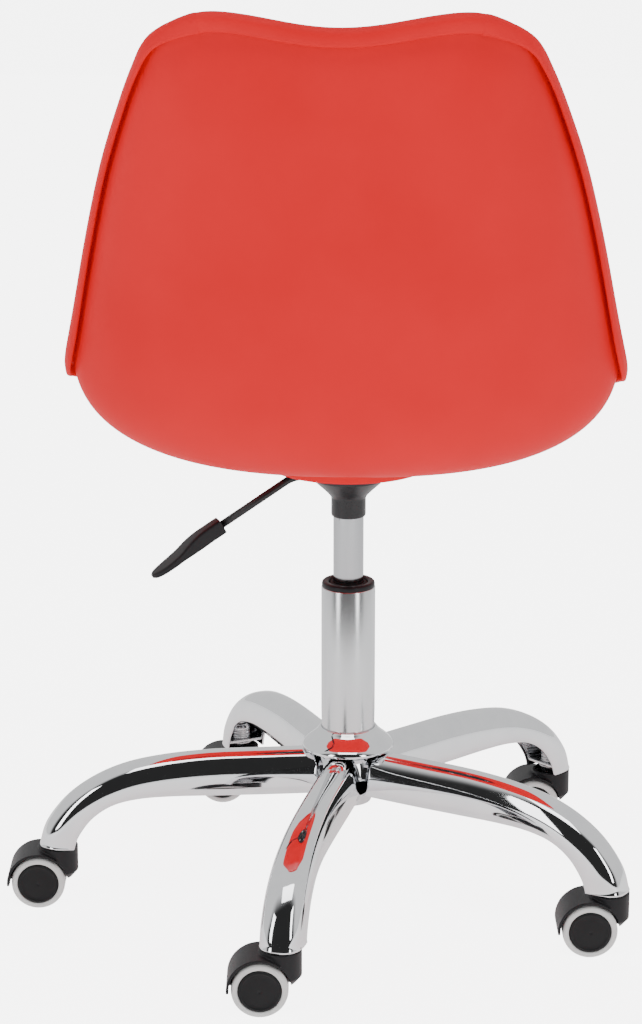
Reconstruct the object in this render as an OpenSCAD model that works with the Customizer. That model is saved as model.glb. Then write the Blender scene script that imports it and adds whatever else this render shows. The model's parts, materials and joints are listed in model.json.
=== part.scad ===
// Rolling stylist stool: moulded shell seat on a gas lift and a five-leg caster base.
// Origin on the floor under the column axis, +Z up, the sitter faces -Y.

/* [Base] */
// Radius of the circle that the caster stems stand on
stem_circle_r = 273; // [265:1:280]
// Direction of the first leg, seen from above
first_leg_angle = 7.8; // [0:0.1:71]
// Direction in which the casters trail
caster_heading = 2.5; // [-180:0.5:180]

/* [Casters] */
// Wheel diameter
wheel_d = 50; // [48:1:52]
// Distance from the stem axis to the wheel axle
caster_trail = 18; // [16:1:20]

/* [Column] */
// Outer diameter of the column tube
column_d = 50; // [48:1:52]
// Height of the column tube's mouth
column_top_z = 303; // [295:1:310]
// Outer diameter of the gas cylinder
cylinder_d = 28; // [26:0.5:29]

/* [Seat] */
// Thickness of the moulded shell
shell_t = 4.5; // [3:0.5:6]
// How far the rolled rim stands out past the shell's border
rim_out = 7; // [6:0.5:9]
// How far the rolled rim stands back from the shell's outer skin
rim_back = 8.4; // [8:0.2:10]
// Thickness of the cushion at its crown
cushion_h = 42; // [30:1:50]

/* [Lever] */
// Direction of the height lever, seen from above
lever_angle = 21; // [10:1:35]
// Diameter of the lever rod
lever_rod_d = 7; // [6:0.5:8]

/* [Hidden] */

$fn = 64;
chrome = [0.8, 0.8, 0.83];
steel = [0.62, 0.63, 0.65];
black = [0.14, 0.14, 0.15];
red = [0.9, 0.16, 0.15];
pale = [0.86, 0.85, 0.83];
brass = [0.78, 0.62, 0.3];
running = 0.05;

// Heights along the column, all above the floor
hub_z0 = 105;
hub_z1 = 150;
hub_r = 30;
column_r = column_d / 2;
column_wall = 1.5;
column_foot_z = 93;
column_foot_r = 22;
swage_z = 180;
column_floor_z = 97;
cylinder_r = cylinder_d / 2;
cylinder_z0 = 165;
cylinder_z1 = 397;
cylinder_wall = 2;
taper_z = 368;
taper_r = cylinder_r - 0.8;
rod_r = 5;
rod_top_z = 248;
socket_z = 370;
dish_z = 391;
plate_z = 420;
plate_t = 3.2;
plate_r = 68;
boss_r = 75;
boss_z = 419;
screw_circle_r = 55;

// Radius of the column's outside at a height: a swaged foot, then a straight tube
function column_outside(z) = z >= swage_z ? column_r
    : column_foot_r + (column_r - column_foot_r) * (z - column_foot_z) / (swage_z - column_foot_z);

// Radius of the gas cylinder's tapered head at a height
function taper(z) = cylinder_r - (cylinder_r - taper_r) * (z - taper_z) / (cylinder_z1 - taper_z);

// Smooth curve through rows of values, t from 0 at the first row to 1 at the last
function curve(rows, t) =
    let (last = len(rows) - 1, at = min(max(t, 0), 1) * last, i = min(floor(at), last - 1), f = at - i,
         a = rows[max(i - 1, 0)], b = rows[i], c = rows[i + 1], d = rows[min(i + 2, last)])
    b + 0.5 * f * ((c - a) + f * ((2 * a - 5 * b + 4 * c - d) + f * (3 * b - 3 * c + d - a)));

// ---- closed skins made of rings of points ----

// Faces that join ring i to ring i + 1, each ring with n points
function ring_faces(rings, n) = [
    for (i = [0:rings - 2]) for (j = [0:n - 1])
        let (a = i * n + j, b = i * n + (j + 1) % n, c = a + n, d = b + n)
        each [[a, d, b], [a, c, d]]];
// Closed skin through rings whose first and last are channel sections: an outer row and an
// inner row of m points each, so each end is closed by a strip of quads
function channel_end(first, m, flip) = [
    for (j = [0:m - 2])
        let (a = first + j, b = first + j + 1, c = first + 2 * m - 1 - j, d = first + 2 * m - 2 - j)
        each flip ? [[a, d, b], [a, c, d]] : [[a, b, d], [a, d, c]]];
module channel(rings, m) {
    n = 2 * m;
    count = len(rings);
    polyhedron(
        points = [for (ring = rings) each ring],
        faces = concat(
            ring_faces(count, n),
            channel_end(0, m, false),
            channel_end((count - 1) * n, m, true)),
        convexity = 6);
}

// ---- base ----

module base_hub() {
    color(chrome)
    rotate_extrude()
    polygon([
        [column_outside(hub_z0), hub_z0], [hub_r - 2, hub_z0], [hub_r, hub_z0 + 2],
        [hub_r, hub_z1], [column_outside(hub_z1), hub_z1]]);
}

module hub_collar() {
    color(chrome)
    rotate_extrude()
    difference() {
        polygon([
            [hub_r, 147], [43, 147], [43, 150.5], [40, 154], [34, 158.5], [29, 163], [26.5, 166.5],
            [column_outside(166.5), 166.5], [column_outside(150), 150], [hub_r, 150]]);
        polygon([[hub_r + 1.5, 140], [41, 140], [41, 149.5], [32.5, 149.5], [hub_r + 1.5, 149]]);
    }
}

module column_tube() {
    color(chrome)
    rotate_extrude()
    polygon([
        [rod_r + 0.3, column_foot_z], [column_foot_r - 1, column_foot_z], [column_foot_r, column_foot_z + 1],
        [column_r, swage_z], [column_r, column_top_z], [column_r - column_wall, column_top_z],
        [column_r - column_wall, swage_z], [column_foot_r - column_wall, column_floor_z],
        [rod_r + 0.3, column_floor_z]]);
}

module guide_bush() {
    color(black)
    difference() {
        union() {
            translate([0, 0, 210]) cylinder(r = column_r - column_wall, h = column_top_z - 210);
            translate([0, 0, column_top_z]) cylinder(r = column_r - 0.4, h = 3.6);
            translate([0, 0, column_top_z + 3.6]) cylinder(r1 = column_r - 0.4, r2 = column_r - 1.8, h = 1.4);
        }
        translate([0, 0, 200]) cylinder(r = cylinder_r + running, h = 120);
        translate([0, 0, column_top_z + 2]) cylinder(r = cylinder_r + 4, h = 10);
    }
}

// Lower race and its ball cage, standing on the column's floor
module thrust_bearing() {
    color(steel)
    difference() {
        union() {
            translate([0, 0, column_floor_z]) cylinder(r = 14, h = 2);
            for (i = [0:9]) rotate(36 * i) translate([10, 0, column_floor_z + 3.2]) sphere(r = 1.9, $fn = 24);
        }
        translate([0, 0, column_floor_z - 1]) cylinder(r = rod_r + 0.3, h = 8);
    }
}

// ---- legs ----

leg_wall = 2;
arch_points = 13;
arch_power = 2.7;
// Rows along a leg: ridge r and z, lower edge r and z, half width
leg_rows = [
    [30, 146, 30, 107, 18], [80, 146, 80, 107, 18], [130, 145.5, 125, 107.5, 18],
    [172, 142, 168, 108, 18.4], [208, 135, 198, 106.5, 18.8], [238, 122.5, 222, 101, 19.4],
    [264, 104, 241, 89, 19.8], [283, 80, 254, 72, 20], [290, 58.4, 259, 58.4, 20]];
leg_steps = 26;
// One arch point: side is 0 to 180 degrees, inset is the distance in from the outer skin
function arch(row, side, inset) =
    let (ridge = [row[0], row[1]], edge = [row[2], row[3]], rise = ridge - edge,
         reach = (norm(rise) - inset) / norm(rise), s = pow(sin(side), 2 / arch_power),
         w = (row[4] - inset) * sign(cos(side)) * pow(abs(cos(side)), 2 / arch_power))
    [edge[0] + rise[0] * reach * s, w, edge[1] + rise[1] * reach * s];
function arch_row(row, inset) = [for (k = [0:arch_points - 1]) arch(row, 180 * k / (arch_points - 1), inset)];
// The first ring lies on the hub's round face
function on_hub(p) = [sqrt(pow(hub_r + 0.02, 2) - p[1] * p[1]), p[1], p[2]];
function reversed(list) = [for (k = [len(list) - 1:-1:0]) list[k]];
function leg_ring(i) =
    let (row = curve(leg_rows, i / leg_steps), ring = concat(arch_row(row, 0), reversed(arch_row(row, leg_wall))))
    i == 0 ? [for (p = ring) on_hub(p)] : ring;

module leg(index) {
    color(chrome)
    rotate(first_leg_angle + 72 * index)
    channel([for (i = [0:leg_steps]) leg_ring(i)], arch_points);
}

// ---- casters, drawn about the stem axis and trailing towards +X ----

wheel_r = wheel_d / 2;
stem_r = 5.5;
stem_foot_z = 49;
housing_top_z = 57;
swivel_r = 18.5;
arch_r = wheel_r + 1.8;
hood_r = arch_r + 2.4;
hood_w = 43;
web_half = 3;
wheel_w = 17.5;
wheel_gap = 0.6;
wheel_y = web_half + wheel_gap;
core_r = 19;
axle_r = 3;

module at_caster(index) {
    rotate(first_leg_angle + 72 * index)
    translate([stem_circle_r, 0, 0])
    rotate(caster_heading - first_leg_angle - 72 * index)
    children();
}

// Lies along Y through the wheel axle
module along_axle(r, from_y, length) {
    translate([caster_trail, from_y + length, wheel_r]) rotate([90, 0, 0]) cylinder(r = r, h = length);
}

module caster_sockets() {
    color(steel)
    for (i = [0:4])
        rotate(first_leg_angle + 72 * i)
        translate([stem_circle_r, 0, 0])
        difference() {
            union() {
                translate([0, 0, 61]) cylinder(r = 9.5, h = 16);
                translate([0, 0, 77]) cylinder(r1 = 9.5, r2 = 7.2, h = 3);
                translate([-14, -17.6, 64]) cube([5, 35.2, 2.5]);
                translate([-9, -15.5, 64]) cube([12, 31, 2.5]);
            }
            translate([0, 0, 60]) cylinder(r = stem_r, h = 30);
        }
}

module caster_stem(index) {
    color(steel)
    at_caster(index) {
        translate([0, 0, stem_foot_z]) cylinder(r = stem_r, h = 80 - stem_foot_z);
        translate([0, 0, housing_top_z + 0.4]) cylinder(r = 8, h = 3.6);
        translate([0, 0, 78]) cylinder(r = 3.5, h = 4);
        translate([0, 0, 82]) sphere(r = 4.8);
    }
}

module caster_housing(index) {
    color(black)
    at_caster(index)
    difference() {
        union() {
            translate([0, 0, 33]) cylinder(r = swivel_r, h = housing_top_z - 33);
            translate([0, 0, 26]) cylinder(r1 = swivel_r - 6, r2 = swivel_r, h = 7);
            intersection() {
                along_axle(hood_r, -hood_w / 2, hood_w);
                translate([0, -hood_w / 2, wheel_r - 2]) cube([60, hood_w, 60]);
            }
        }
        // wheel arches on both sides of the web
        along_axle(arch_r, web_half, 40);
        along_axle(arch_r, -web_half - 40, 40);
        // open below, so that the web ends in a round nose about the axle
        difference() {
            translate([-10, -web_half - 1, -10]) cube([70, 2 * web_half + 2, wheel_r - 2 + 10]);
            along_axle(12, -10, 20);
            translate([-10, -10, 18]) cube([caster_trail + 10, 20, 30]);
        }
        // recess in the swivel's top
        difference() {
            translate([0, 0, housing_top_z - 6]) cylinder(r = 15.5, h = 10);
            translate([0, 0, housing_top_z - 7]) cylinder(r = 9, h = 7);
            for (rib = [0:5])
                rotate(60 * rib) translate([8, -0.9, housing_top_z - 7]) cube([9, 1.8, 7]);
        }
        translate([0, 0, stem_foot_z - 0.4]) cylinder(r = stem_r + running, h = 30);
        along_axle(axle_r, -10, 20);
    }
}

module caster_axle(index) {
    color(steel) at_caster(index) along_axle(axle_r, -17, 34);
}

// side is 1 for the wheel towards +Y of the caster and -1 for the other
module wheel_core(index, side) {
    color(black)
    at_caster(index)
    difference() {
        union() {
            along_axle(core_r, side > 0 ? wheel_y : -wheel_y - wheel_w + 1, wheel_w - 1);
            along_axle(core_r - 1.5, side > 0 ? wheel_y : -wheel_y - wheel_w, wheel_w);
        }
        along_axle(axle_r + running, side > 0 ? 0 : -17.2, 17.2);
        // shallow dish in the cap
        translate([caster_trail, side * (wheel_y + wheel_w + 27.6), wheel_r]) sphere(r = 28.6);
    }
}

module wheel_tread(index, side) {
    color(pale)
    at_caster(index)
    translate([caster_trail, side * wheel_y, wheel_r])
    rotate([side > 0 ? -90 : 90, 0, 0])
    rotate_extrude()
    polygon([
        [core_r, 0.4], [wheel_r - 1.5, 0.4], [wheel_r, 2], [wheel_r, wheel_w - 3.5],
        [wheel_r - 1, wheel_w - 1.6], [wheel_r - 3, wheel_w - 0.6], [core_r, wheel_w - 0.6]]);
}

// ---- gas spring ----

module piston_rod() {
    color(steel) {
        translate([0, 0, 89]) cylinder(r = rod_r, h = rod_top_z - 89);
        translate([0, 0, rod_top_z - 8]) cylinder(r = cylinder_r - cylinder_wall - running, h = 8);
    }
}

module retaining_clip() {
    color(steel)
    difference() {
        translate([0, 0, 91.2]) cylinder(r = 10, h = 1.4);
        translate([0, 0, 90]) cylinder(r = rod_r, h = 4);
        translate([4, -2, 90]) cube([8, 4, 4]);
    }
}

// Rubber ring on the rod with the upper bearing race moulded into its foot
module bump_stop() {
    color(black)
    difference() {
        translate([0, 0, 102.5]) cylinder(r = 10, h = 6.5);
        translate([0, 0, 100]) cylinder(r = rod_r, h = 12);
    }
}

module gas_cylinder() {
    color(steel)
    rotate_extrude()
    polygon([
        [cylinder_r - cylinder_wall, cylinder_z0], [cylinder_r, cylinder_z0], [cylinder_r, taper_z],
        [taper_r, cylinder_z1], [4.05, cylinder_z1], [4.05, cylinder_z1 - 8],
        [cylinder_r - cylinder_wall, cylinder_z1 - 8]]);
}

module rod_seal() {
    color(black)
    difference() {
        translate([0, 0, cylinder_z0 + 1]) cylinder(r = cylinder_r - cylinder_wall, h = 14);
        translate([0, 0, cylinder_z0]) cylinder(r = rod_r + running, h = 20);
    }
}

module valve_pin() {
    color(steel) {
        translate([0, 0, cylinder_z1 - 14]) cylinder(r = 4, h = 18);
        translate([0, 0, cylinder_z1 + 4]) cylinder(r1 = 4, r2 = 3, h = 1);
    }
}

// ---- seat plate ----

module around_screws() {
    for (i = [0:3]) rotate(45 + 90 * i) translate([screw_circle_r, 0, 0]) children();
}

module seat_plate() {
    socket_r = 16;
    color(black)
    difference() {
        rotate_extrude()
        polygon([
            [taper_r, cylinder_z1], [taper(socket_z + 0.5), socket_z + 0.5],
            [cylinder_r + 0.5, socket_z], [socket_r - 1, socket_z], [socket_r, socket_z + 1.5],
            [socket_r, dish_z - 3], [18, dish_z], [23, 396], [34.5, 406.5], [34.5, 408], [38, plate_z],
            [plate_r, plate_z], [plate_r, plate_z + plate_t], [0, plate_z + plate_t], [0, plate_z],
            [34, plate_z], [32, 408.5], [21.5, 398.8], [taper_r, 398]]);
        // slot for the lever, open through the dish's wall
        rotate(lever_angle) translate([20, -4.5, 405]) cube([20, 9, plate_z - 405]);
        around_screws() translate([0, 0, plate_z - 1]) cylinder(r = 3.2, h = plate_t + 2);
        rotate(lever_angle) translate([pivot_out, 60, pivot_z]) rotate([90, 0, 0]) cylinder(r = pivot_r, h = 120);
    }
}

module plate_screws() {
    color(steel)
    around_screws() {
        translate([0, 0, plate_z]) cylinder(r = 3, h = 6);
        translate([0, 0, plate_z - 3]) cylinder(r1 = 4.2, r2 = 5.5, h = 1);
        difference() {
            translate([0, 0, plate_z - 2]) cylinder(r = 5.5, h = 2);
            translate([0, 0, plate_z - 4]) cylinder(r = 2.3, h = 2.4, $fn = 6);
        }
    }
}

// ---- lever ----

pivot_out = 24;
pivot_z = 411;
pivot_r = 2;
bend_out = 46;
bend_r = 30;
droop = 30;
grip_out = 122;
lever_rod_r = lever_rod_d / 2;

module lever_pivot_pin() {
    color(steel)
    rotate(lever_angle) translate([pivot_out, 23, pivot_z]) rotate([90, 0, 0]) cylinder(r = pivot_r, h = 46);
}

// Carries what follows to the end of the bend, with +Z down along the drooping rod
module along_droop() {
    rotate(lever_angle)
    translate([bend_out + bend_r * sin(droop), 0, pivot_z - bend_r * (1 - cos(droop))])
    rotate([0, 90 + droop, 0])
    children();
}

straight = (grip_out - bend_out - bend_r * sin(droop)) / cos(droop);

// Centre, along-axis and upward directions of the rod's ring at a distance and an angle down
function rod_ring(out, z, down) = [
    for (k = [0:rod_sides - 1])
        let (a = 360 * k / rod_sides, up = lever_rod_r * sin(a))
        [out + up * sin(down), lever_rod_r * cos(a), z + up * cos(down)]];
rod_sides = 24;
bend_steps = 6;
rod_end = grip_out + 20 * cos(droop);
rod_end_z = pivot_z - bend_r * (1 - cos(droop)) - (straight + 20) * sin(droop);
rod_rings = concat(
    [rod_ring(-2, pivot_z, 0)],
    [for (k = [0:bend_steps]) let (a = droop * k / bend_steps)
        rod_ring(bend_out + bend_r * sin(a), pivot_z - bend_r * (1 - cos(a)), a)],
    [rod_ring(rod_end, rod_end_z, droop)]);

module lever_rod() {
    color(steel)
    rotate(lever_angle)
    difference() {
        union() {
            polyhedron(
                points = [for (ring = rod_rings) each ring],
                faces = concat(
                    [[for (k = [0:rod_sides - 1]) k]],
                    [reversed([for (k = [0:rod_sides - 1]) (len(rod_rings) - 1) * rod_sides + k])],
                    ring_faces(len(rod_rings), rod_sides)),
                convexity = 6);
            translate([pivot_out, 4.2, pivot_z]) rotate([90, 0, 0]) cylinder(r = 5, h = 8.4);
        }
        translate([pivot_out, 20, pivot_z]) rotate([90, 0, 0]) cylinder(r = pivot_r + running, h = 40);
        // flat under the inner end, over the valve pin
        translate([-6, -6, pivot_z - 8]) cube([12, 12, 8 - lever_rod_r * 0.6]);
    }
}

// A square socket that runs out into a flat paddle with a round end
module lever_grip() {
    grip_l = 78;
    color(black)
    along_droop() translate([0, 0, straight])
    difference() {
        hull() {
            translate([-5.5, -6, 0]) cube([11, 12, 4]);
            translate([-5.5, -8.5, 16]) cube([11, 17, 18]);
            translate([4, 0, grip_l - 9]) rotate([0, 90, 0]) cylinder(r = 9, h = 6, center = true, $fn = 32);
        }
        translate([0, 0, -1]) cylinder(r = lever_rod_r, h = 23);
    }
}

// ---- shell ----

// Rows from the front edge to the top of the back: spine y and z, border x, y and z, the power
// of the bulge between them, and how far the bulge gives way to a dipped crest
shell_rows = [
    [-232, 447, 150, -228, 455, 2.4, 1], [-205, 442, 203, -196, 462, 2.4, 0.3],
    [-130, 430, 220, -120, 478, 2.5, 0], [-55, 426, 230, -25, 500, 2.6, 0],
    [50, 426, 237, 60, 522, 2.6, 0], [120, 440, 238, 100, 536, 2.5, 0],
    [168, 493, 228, 116, 582, 2.5, 0], [187, 570, 214, 131, 650, 2.7, 0],
    [200, 655, 198, 149, 715, 3, 0], [211, 735, 180, 168, 768, 3.2, 0],
    [217, 785, 166, 185, 802, 3, 0.1], [220.5, 815, 151, 200, 828, 2.6, 0.5],
    [222, 834, 117, 214, 847, 2.2, 1]];
bulge_reach = 0.995;
function bulge(x, power) =
    (1 - pow(1 - pow(bulge_reach * x, power), 1 / power)) / (1 - pow(1 - pow(bulge_reach, power), 1 / power));
// Outside of the shell: u runs from -1 to 1 across it, s from 0 at the front to 1 at the top
function skin(u, s) =
    let (row = curve(shell_rows, s), x = sin(87 * u) / sin(87),
         g = (1 - row[6]) * bulge(abs(x), row[5]) + row[6] * (1 - cos(180 * x)) / 2)
    [row[2] * x, row[0] + (row[3] - row[0]) * g, row[1] + (row[4] - row[1]) * g];
function unit(v) = v / norm(v);
// Direction from the outside towards the sitter
function inward(u, s) =
    let (e = 0.004, u0 = max(u - e, -1), u1 = min(u + e, 1), s0 = max(s - e, 0), s1 = min(s + e, 1))
    unit(cross(skin(u1, s) - skin(u0, s), skin(u, s1) - skin(u, s0)));
function skin_at(u, s, depth) = skin(u, s) + depth * inward(u, s);

rim_drop = 8.6;
shell_across = 36;
shell_along = 44;
function shell_u(j) = 2 * j / shell_across - 1;
function shell_s(i) = i / shell_along;
function shell_grid(depth) = [
    for (i = [0:shell_along]) [for (j = [0:shell_across]) skin_at(shell_u(j), shell_s(i), depth)]];
// Places of a grid's border, once round it
function border(rows, columns) = concat(
    [for (j = [0:columns - 2]) [0, j]], [for (i = [0:rows - 2]) [i, columns - 1]],
    [for (j = [columns - 1:-1:1]) [rows - 1, j]], [for (i = [rows - 1:-1:1]) [i, 0]]);
// Section of the rolled rim, from the outer skin over to the inner one: distance out past the
// border, and distance back from the outer skin. The edge turns over and hangs behind the skin.
rim_section = [
    [rim_out - 4, 0.6], [rim_out - 4, rim_back - shell_t], [-rim_drop, rim_back - shell_t],
    [-rim_drop, rim_back], [rim_out - 3, rim_back], [rim_out, rim_back - 4], [rim_out, -1],
    [rim_out - 3, -shell_t]];
function rim_ring(grid, section) =
    let (places = border(shell_along + 1, shell_across + 1), n = len(places))
    [for (k = [0:n - 1])
        let (at = places[k], before = places[(k + n - 1) % n], after = places[(k + 1) % n],
             face = inward(shell_u(at[1]), shell_s(at[0])),
             run = grid[after[0]][after[1]] - grid[before[0]][before[1]])
        grid[at[0]][at[1]] + section[0] * unit(cross(run, face)) - section[1] * face];

// Closed sheet between an outer and an inner grid of points; rims are rings from outer to inner
module sheet(outer, inner, rims) {
    rows = len(outer);
    columns = len(outer[0]);
    total = rows * columns;
    edge = border(rows, columns);
    n = len(edge);
    function at(i, j, layer) = layer * total + i * columns + j;
    last = len(rims) + 1;
    function loop(k, ring) = ring == 0 ? at(edge[k % n][0], edge[k % n][1], 0)
        : ring == last ? at(edge[k % n][0], edge[k % n][1], 1) : 2 * total + (ring - 1) * n + k % n;
    polyhedron(
        points = concat([for (row = outer) each row], [for (row = inner) each row], [for (rim = rims) each rim]),
        faces = concat(
            [for (i = [0:rows - 2]) for (j = [0:columns - 2]) each [
                [at(i, j, 0), at(i, j + 1, 0), at(i + 1, j + 1, 0)],
                [at(i, j, 0), at(i + 1, j + 1, 0), at(i + 1, j, 0)],
                [at(i, j, 1), at(i + 1, j + 1, 1), at(i, j + 1, 1)],
                [at(i, j, 1), at(i + 1, j, 1), at(i + 1, j + 1, 1)]]],
            [for (ring = [0:last - 1]) for (k = [0:n - 1]) each [
                [loop(k, ring), loop(k, ring + 1), loop(k + 1, ring + 1)],
                [loop(k, ring), loop(k + 1, ring + 1), loop(k + 1, ring)]]]),
        convexity = 8);
}

module seat_shell() {
    outside = shell_grid(0);
    color(red)
    difference() {
        union() {
            sheet(outside, shell_grid(shell_t), [for (section = rim_section) rim_ring(outside, section)]);
            boss();
        }
        around_screws() translate([0, 0, boss_z]) cylinder(r = 4.5, h = 9.2);
    }
}

// Round boss under the shell, with a recess that holds the seat plate
module boss() {
    difference() {
        translate([0, 0, boss_z]) cylinder(r = boss_r, h = 430 - boss_z);
        translate([0, 0, boss_z - 1]) cylinder(r = plate_r + 0.3, h = plate_z + plate_t - boss_z + 1);
    }
}

module shell_inserts() {
    color(brass)
    around_screws()
    difference() {
        translate([0, 0, plate_z + plate_t]) cylinder(r = 4.5, h = 5);
        translate([0, 0, plate_z + plate_t - 1]) cylinder(r = 3, h = 7);
    }
}

// ---- cushion ----

cushion_s0 = 0.055;
cushion_s1 = 0.4;
cushion_across = 20;
cushion_along = 20;
cushion_reach = 0.76;
cushion_lip = 5;
// The top is a low crown whose edge rounds down to a thin lip on the shell
function cushion_point(i, j, top) =
    let (a = 2 * i / cushion_along - 1, b = 2 * j / cushion_across - 1,
         u = cushion_reach * b * sqrt(1 - 0.22 * a * a),
         s = (cushion_s0 + cushion_s1) / 2 + (cushion_s1 - cushion_s0) / 2 * a * sqrt(1 - 0.2 * b * b),
         below = skin_at(u, s, shell_t + 1.2), crown = 426 + shell_t + cushion_h + 5 - 7 * (a * a + b * b),
         rounding = sqrt((1 - pow(a, 8)) * (1 - pow(b, 8))))
    top ? [below[0], below[1], below[2] + cushion_lip + max(0, crown - below[2] - cushion_lip) * rounding]
        : below;

module seat_cushion() {
    color(red)
    sheet(
        [for (i = [0:cushion_along]) [for (j = [0:cushion_across]) cushion_point(i, j, false)]],
        [for (i = [0:cushion_along]) [for (j = [0:cushion_across]) cushion_point(i, j, true)]], []);
}

// ---- every node, drawn by its name ----

base_hub();
hub_collar();
column_tube();
guide_bush();
thrust_bearing();
caster_sockets();
for (i = [1:5]) {
    leg(i - 1);
    caster_stem(i - 1);
    caster_housing(i - 1);
    caster_axle(i - 1);
    wheel_core(i - 1, 1);
    wheel_tread(i - 1, 1);
    wheel_core(i - 1, -1);
    wheel_tread(i - 1, -1);
}
piston_rod();
retaining_clip();
bump_stop();
gas_cylinder();
rod_seal();
valve_pin();
seat_plate();
plate_screws();
lever_pivot_pin();
shell_inserts();
seat_shell();
seat_cushion();
lever_rod();
lever_grip();
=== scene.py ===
"""Rolling stylist stool: the looks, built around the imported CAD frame. Metres, +Z up, sitter faces -Y."""
import json
import math

import bmesh
import bpy
import numpy as np
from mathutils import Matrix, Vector


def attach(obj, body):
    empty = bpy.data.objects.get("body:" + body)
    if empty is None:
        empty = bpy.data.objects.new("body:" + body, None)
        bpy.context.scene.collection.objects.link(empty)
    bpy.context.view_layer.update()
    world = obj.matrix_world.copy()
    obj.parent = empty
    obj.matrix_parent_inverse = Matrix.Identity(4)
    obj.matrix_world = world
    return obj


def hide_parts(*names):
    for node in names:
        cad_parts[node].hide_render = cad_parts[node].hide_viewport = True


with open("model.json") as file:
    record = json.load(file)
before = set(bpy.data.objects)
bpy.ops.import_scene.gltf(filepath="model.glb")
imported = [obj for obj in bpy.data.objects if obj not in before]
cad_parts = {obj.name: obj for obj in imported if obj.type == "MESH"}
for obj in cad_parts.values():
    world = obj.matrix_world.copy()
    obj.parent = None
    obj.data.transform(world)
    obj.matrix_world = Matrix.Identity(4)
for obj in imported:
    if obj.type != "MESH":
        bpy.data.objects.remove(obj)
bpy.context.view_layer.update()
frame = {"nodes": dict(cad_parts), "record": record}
nodes = frame["nodes"]
MM = 0.001
# Most of a noise texture's values lie in this band
NOISE_BAND = (0.3, 0.7)


# ---------------------------------------------------------------- materials

class Graph:
    """A material's node tree, with short calls for the nodes that the finishes share."""

    def __init__(self, name):
        self.material = bpy.data.materials.new(name)
        self.material.use_nodes = True
        self.tree = self.material.node_tree
        self.shader = self.tree.nodes["Principled BSDF"]
        self.place = self.add("ShaderNodeTexCoord").outputs["Object"]

    def add(self, kind, **settings):
        node = self.tree.nodes.new(kind)
        for key, value in settings.items():
            setattr(node, key, value)
        return node

    def link(self, source, target):
        self.tree.links.new(source, target)

    def stretch(self, scale):
        """Object coordinates with each axis scaled."""
        mapping = self.add("ShaderNodeMapping")
        mapping.inputs["Scale"].default_value = scale
        self.link(self.place, mapping.inputs["Vector"])
        return mapping.outputs["Vector"]

    def noise(self, scale, detail=3.0, roughness=0.55, place=None):
        node = self.add("ShaderNodeTexNoise")
        node.inputs["Scale"].default_value = scale
        node.inputs["Detail"].default_value = detail
        node.inputs["Roughness"].default_value = roughness
        self.link(place or self.place, node.inputs["Vector"])
        return node.outputs["Fac"]

    def cells(self, scale, feature="F1"):
        node = self.add("ShaderNodeTexVoronoi", feature=feature)
        node.inputs["Scale"].default_value = scale
        self.link(self.place, node.inputs["Vector"])
        return node.outputs["Distance"]

    def ramp(self, factor, low, high):
        node = self.add("ShaderNodeValToRGB")
        for element, place, colour in zip(node.color_ramp.elements, NOISE_BAND, (low, high)):
            element.position = place
            element.color = (*colour, 1.0)
        self.link(factor, node.inputs["Fac"])
        return node.outputs["Color"]

    def spread(self, factor, low, high):
        """The factor, mapped to a range of values."""
        node = self.add("ShaderNodeMapRange")
        node.inputs["From Min"].default_value, node.inputs["From Max"].default_value = NOISE_BAND
        node.inputs["To Min"].default_value = low
        node.inputs["To Max"].default_value = high
        self.link(factor, node.inputs["Value"])
        return node.outputs["Result"]

    def bump(self, height, strength, distance, onto=None):
        node = self.add("ShaderNodeBump")
        node.inputs["Strength"].default_value = strength
        node.inputs["Distance"].default_value = distance
        self.link(height, node.inputs["Height"])
        if onto is not None:
            self.link(onto, node.inputs["Normal"])
        return node.outputs["Normal"]

    def set(self, **values):
        for key, value in values.items():
            self.shader.inputs[key.replace("_", " ")].default_value = value

    def finish(self, colour, roughness, normal):
        self.link(colour, self.shader.inputs["Base Color"])
        self.link(roughness, self.shader.inputs["Roughness"])
        self.link(normal, self.shader.inputs["Normal"])
        return self.material


def moulded_plastic(name, low, high, grain, rough, depth=0.00006, shine=0.42):
    """Matte moulding: slow colour drift, a fine spark-eroded grain and a slightly uneven gloss."""
    g = Graph(name)
    drift = g.noise(9.0, 2.0)
    fine = g.noise(grain, 4.0, 0.62)
    pits = g.cells(grain * 0.9)
    normal = g.bump(fine, 0.5, depth, g.bump(pits, 0.3, depth))
    g.set(Specular_IOR_Level=shine)
    return g.finish(g.ramp(drift, low, high), g.spread(fine, *rough), normal)


def plated_metal(name, low, high, rough, ripple=0.00008, brushed=None):
    """Chrome or zinc plate: faint polishing swirl, soft ripple from the pressing."""
    g = Graph(name)
    swirl = g.noise(60.0, 5.0, 0.6, g.stretch(brushed) if brushed else None)
    wave = g.noise(26.0, 2.0)
    g.set(Metallic=1.0)
    return g.finish(g.ramp(swirl, low, high), g.spread(swirl, *rough), g.bump(wave, 0.35, ripple))


def soft_rubber(name, low, high, rough):
    """Rubber or polyurethane with slight wear."""
    g = Graph(name)
    wear = g.noise(70.0, 4.0)
    fine = g.noise(1500.0, 3.0)
    g.set(Specular_IOR_Level=0.35)
    return g.finish(g.ramp(wear, low, high), g.spread(wear, *rough), g.bump(fine, 0.4, 0.00005))


def leather(name, low, high):
    """Fine pebbled leatherette: cells with creases between them, over a slow drift."""
    g = Graph(name)
    pebble = g.cells(620.0, "SMOOTH_F1")
    crease = g.noise(48.0, 5.0, 0.6)
    drift = g.noise(14.0, 3.0)
    normal = g.bump(pebble, 0.55, 0.00022, g.bump(crease, 0.3, 0.0007))
    g.set(Specular_IOR_Level=0.32)
    return g.finish(g.ramp(drift, low, high), g.spread(pebble, 0.34, 0.5), normal)


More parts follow.
